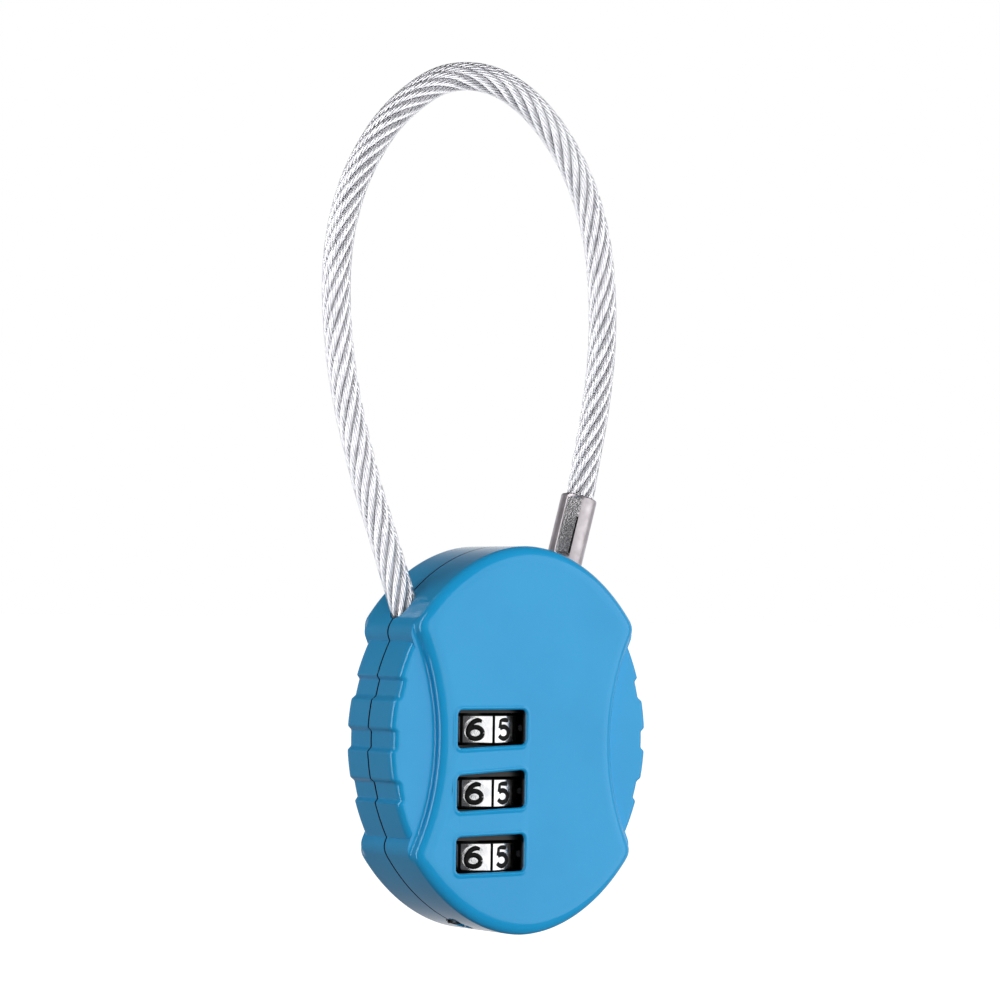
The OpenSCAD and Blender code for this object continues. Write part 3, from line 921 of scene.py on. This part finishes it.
def make_rivets(finish):
    """Three rivets with low domed heads, each with the small dimple of the setting tool."""
    profile = [(1.0, -5.4), (1.0, -1.02), (1.62, -1.0), (1.64, -0.55), (1.5, -0.34), (1.2, -0.2),
               (0.8, -0.14), (0.55, -0.16), (0.4, -0.3), (0.02, -0.36), (0.02, -5.4)]
    bm = bmesh.new()
    for x, z in RIVETS:
        turned = lathe(profile, 40)
        turned.transform(Matrix.Translation(place(x, HALF_T, z)) @ Matrix.Rotation(-math.pi / 2, 4, "X"))
        mesh = bpy.data.meshes.new("rivet")
        turned.to_mesh(mesh)
        turned.free()
        bm.from_mesh(mesh)
        bpy.data.meshes.remove(mesh)
    finished("rivet_heads", bm, "housing", "plated_steel", "shell_rivets", materials=[finish], angle=40)


def make_reset_pin(finish):
    """The setting pin at the bottom, with a slot across its head."""
    profile = [(1.25, -20.0), (1.38, -19.88), (1.4, -18.75), (0.8, -18.7), (0.8, -17.95), (0.02, -17.95),
               (0.02, -20.0)]
    bm = lathe(profile, 40)
    bm.transform(Matrix.Translation(place(DIAL_X, 0, 0)))
    pin = finished("setting_pin", bm, "reset_button", "black_nylon", "reset_pin", materials=[finish],
                   angle=40)
    bpy.ops.object.select_all(action="DESELECT")
    bpy.ops.mesh.primitive_cube_add(size=1)
    slot = bpy.context.object
    size = Matrix.Diagonal((4 * MM, 0.5 * MM, 0.8 * MM, 1))
    slot.data.transform(Matrix.Translation(place(DIAL_X, 0, -20.0)) @ size)
    cut(pin, slot)


def make_spring(name, node, finish, turns, wire_mm):
    """A wire coil in the box of its plain CAD piece. wire_mm is the wire's radius."""
    low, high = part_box(node)
    centre = (low + high) / 2
    radius = (high.x - low.x) / 2 - wire_mm * MM
    bm = bmesh.new()
    steps, sides = turns * 24, 8
    rings = []
    for i in range(steps + 1):
        t = math.tau * turns * i / steps
        out = Vector((math.cos(t), math.sin(t), 0))
        z = low.z + wire_mm * MM + (high.z - low.z - 2 * wire_mm * MM) * i / steps
        at = Vector((centre.x, centre.y, z)) + out * radius
        rings.append(ring_of(bm, [at + (out * math.cos(u) + Vector((0, 0, 1)) * math.sin(u)) * wire_mm * MM
                                  for u in [math.tau * k / sides for k in range(sides)]]))
    for i in range(len(rings) - 1):
        wall_between(bm, rings[i], rings[i + 1])
    bm.faces.new(rings[0])
    bm.faces.new(rings[-1])
    bmesh.ops.recalc_face_normals(bm, faces=bm.faces)
    piece = finished(name, bm, "housing", "spring_steel", node, materials=[finish], angle=60)
    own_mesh(piece)


# ---- studio ----

FLOOR_DROP = 60                 # millimetres below the lock
FLOOR_R = 40                    # metres, so that its rim is out of sight
AIR = 0.36
# What stands round the lock, as direction, cosines where it starts and is full, and brightness: white
# paper behind, then a dim ceiling, a dim room in front on the left, and a dim table below
STUDIO_WALLS = [((0.54, 0.84, 0.0), 0.45, 0.85, 0.78), ((0, 0.2, 0.98), 0.3, 0.7, 0.1),
                ((-0.62, -0.78, 0.05), 0.2, 0.6, 0.08), ((0, 0, -1), 0.2, 0.7, 0.14)]


def wall_light(tree, way, air, direction, start, full, strength):
    """Turns the brightness of the air towards another value around one direction."""
    dot = add(tree, "ShaderNodeVectorMath", {1: direction}, {0: way}, operation="DOT_PRODUCT")
    limits = {"From Min": start, "From Max": full, "To Min": 0.0, "To Max": 1.0}
    fade = add(tree, "ShaderNodeMapRange", limits, {"Value": dot.outputs["Value"]},
               interpolation_type="SMOOTHSTEP")
    links = {0: fade.outputs["Result"], 2: air}
    return add(tree, "ShaderNodeMix", {3: strength}, links, data_type="FLOAT").outputs[0]


def soft_box(name, azimuth, height, distance, size, watts):
    """A rectangular light that faces the body. Azimuth 0 is in front of the face and 90 to its right."""
    data = bpy.data.lights.new(name, "AREA")
    data.shape, data.size, data.size_y, data.energy = "RECTANGLE", size[0], size[1], watts
    light = bpy.data.objects.new(name, data)
    bpy.context.scene.collection.objects.link(light)
    turn = math.radians(azimuth)
    light.location = MIDDLE + Vector((math.sin(turn) * distance, -math.cos(turn) * distance, height))
    light.rotation_euler = (MIDDLE - light.location).to_track_quat("-Z", "Y").to_euler()
    light.visible_camera = False
    return light


def make_studio():
    """A pale floor well below the hanging lock, white paper behind it and dim surroundings elsewhere, a
    broad soft box in front on the right, a narrow one on the left for edges, and two weak fills."""
    bpy.ops.object.select_all(action="DESELECT")
    bpy.ops.mesh.primitive_circle_add(vertices=96, radius=FLOOR_R, fill_type="NGON",
                                      location=(MIDDLE.x, 0, cad_low.z - FLOOR_DROP * MM))
    floor = bpy.context.object
    floor.name = "floor"
    floor.data.transform(floor.matrix_world)
    floor.matrix_world = Matrix.Identity(4)
    values = {"Roughness": 0.9, "Emission Strength": 1.0, "Emission Color": linear("#ffffff")}
    white, tree, shader, here = material("pale_floor", values)
    tone = ramp(tree, noise(tree, here, 400), 0.3, 0.7, (linear("#f2f3f4"), linear("#f6f6f7")))
    tree.links.new(tone, shader.inputs["Base Color"])
    floor.data.materials.append(white)
    floor.visible_diffuse = False
    floor.visible_glossy = False

    world = bpy.data.worlds.new("studio_air")
    bpy.context.scene.world = world
    world.use_nodes = True
    tree = world.node_tree
    tree.nodes.clear()
    way = add(tree, "ShaderNodeTexCoord").outputs["Generated"]
    air = add(tree, "ShaderNodeValue").outputs[0]
    air.default_value = AIR
    for direction, start, full, strength in STUDIO_WALLS:
        air = wall_light(tree, way, air, direction, start, full, strength)
    seen = add(tree, "ShaderNodeLightPath").outputs["Is Camera Ray"]
    lit = add(tree, "ShaderNodeBackground", {"Color": linear("#fbfcff")}, {"Strength": air})
    plain = add(tree, "ShaderNodeBackground", {"Strength": 1.0, "Color": (1, 1, 1, 1)})
    mixed = add(tree, "ShaderNodeMixShader", links={0: seen, 1: lit.outputs[0], 2: plain.outputs[0]})
    add(tree, "ShaderNodeOutputWorld", links={"Surface": mixed.outputs[0]})

    soft_box("front_soft_box", azimuth=31, height=0.05, distance=0.75, size=(1.45, 0.9), watts=4.4)
    strip = soft_box("left_strip", azimuth=-82, height=0.12, distance=0.5, size=(0.16, 0.9), watts=1.9)
    strip.visible_diffuse = False
    for name, azimuth, height, watts in (("front_fill", -5, 0.15, 3.7), ("left_fill", -105, 0.25, 2.5)):
        fill = soft_box(name, azimuth, height, 0.8, (0.8, 0.8), watts)
        fill.visible_glossy = False


def dress_cad_nodes(finishes):
    """Gives the pieces kept as they are the finish of their slot."""
    for kept, finish in finishes.items():
        for name in kept.split():
            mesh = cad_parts[name].data
            mesh.materials.clear()
            mesh.materials.append(finish)


make_camera()
chrome, steel, spring = chromed_zinc(), plated_steel(), spring_steel()
# seam is the near black finish that paints shade in the seam, the shells' insides and the sleeve's crease
nylon, yellow, nickel, seam = black_nylon(), brass(), nickel_sleeve(), seam_shadow()
rope = make_rope(wire_rope())
# The sleeve's crease takes the near black seam finish as painted shade
make_crimped_sleeve([nickel, pressed_nickel(), seam])
make_jacket(clear_pvc())
# The near black and black nylon finishes on the shells are painted shade
shell_finishes = [painted_zinc(), seam, nylon]
shell("front_shell", -1, shell_finishes)
shell("rear_shell", 1, shell_finishes)
make_dials(chrome, digit_enamel())
make_rivets(steel)
make_reset_pin(nylon)
make_spring("spindle_return_spring", "spindle_spring", spring,
            turns=6, wire_mm=0.18)
make_spring("pin_return_spring", "reset_spring", spring,
            turns=4, wire_mm=0.12)
dress_cad_nodes({
    "dial_frame latch_guide code_sleeve_upper code_sleeve_middle code_sleeve_lower": nylon,
    "plug_socket": yellow,
    "spindle spindle_clip latch_bolt plug_tip": steel,
    "detent_spring": spring,
    "anchor_ferrule": nickel,
})
make_studio()
bpy.context.scene.view_settings.view_transform = "Standard"
